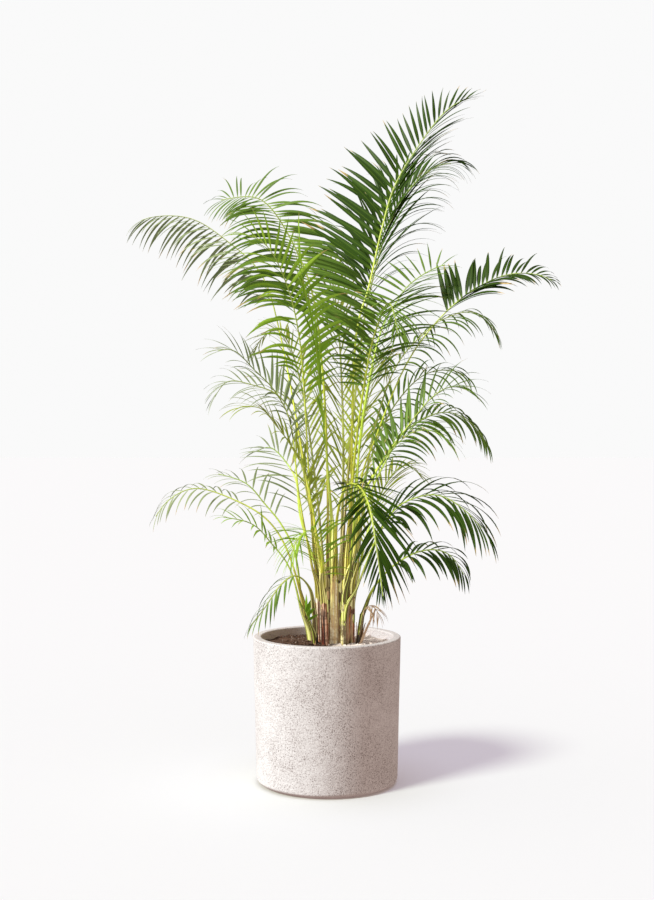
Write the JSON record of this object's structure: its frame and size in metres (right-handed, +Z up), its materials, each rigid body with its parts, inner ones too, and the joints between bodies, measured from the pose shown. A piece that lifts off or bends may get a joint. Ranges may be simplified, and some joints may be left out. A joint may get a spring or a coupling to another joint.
{
  "type": "potted palm",
  "caption": "Feather-leaved palm in a straight-sided round cement planter, with arching fronds on slim woody canes.",
  "frame": {"origin": "centre of the planter's flat underside", "axes": "+Z up along the planter's axis; -Y is the side seen from the front, with the tallest frond leaning to +X"},
  "size_m": [1.1517, 0.9055, 1.7717],
  "materials": {
    "planter_cement": "matt, finely speckled and pitted cement",
    "potting_mix": "loose dark bark and peat",
    "cane_bark": "satin, ringed olive to straw and rust brown",
    "frond_leaf": "satin green leaf",
    "dried_leaf": "dry straw-coloured leaf",
    "young_leaf": "satin bright green leaf"
  },
  "bodies": {
    "root": {"planter": "planter_cement", "soil": "potting_mix", "cane_thin_left": "cane_bark", "cane_stub": "cane_bark", "cane_yellow": "cane_bark", "cane_maroon": "cane_bark", "cane_brown": "cane_bark", "cane_pale": "cane_bark", "cane_dark": "cane_bark", "cane_olive": "cane_bark", "cane_rust": "cane_bark", "cane_thin_right": "cane_bark", "frond_far_left_high": "frond_leaf", "frond_left_high": "frond_leaf", "frond_left_bright": "frond_leaf", "frond_spear": "frond_leaf", "frond_tallest": "frond_leaf", "frond_right_high": "frond_leaf", "frond_right_upper": "frond_leaf", "frond_long_right": "frond_leaf", "frond_right_behind": "frond_leaf", "frond_umbrella": "frond_leaf", "frond_right_middle": "frond_leaf", "frond_right_arching": "frond_leaf", "frond_right_drooping": "frond_leaf", "frond_right_low_front": "frond_leaf", "frond_left_middle": "frond_leaf", "frond_left_behind": "frond_leaf", "frond_left_front": "frond_leaf", "frond_left_faint": "frond_leaf", "frond_low_left_long": "frond_leaf", "frond_low_left_upper": "frond_leaf", "frond_low_left_front": "frond_leaf", "frond_low_left_drooping": "frond_leaf", "frond_small_centre": "frond_leaf", "frond_front_drooping": "frond_leaf", "frond_low_right_upper": "frond_leaf", "frond_low_right_lower": "frond_leaf", "frond_back_right": "frond_leaf", "frond_back_left": "frond_leaf", "frond_back_tall": "frond_leaf", "frond_back_low": "frond_leaf", "dried_leaf": "dried_leaf", "young_shoot": "young_leaf"}
  },
  "joints": []
}
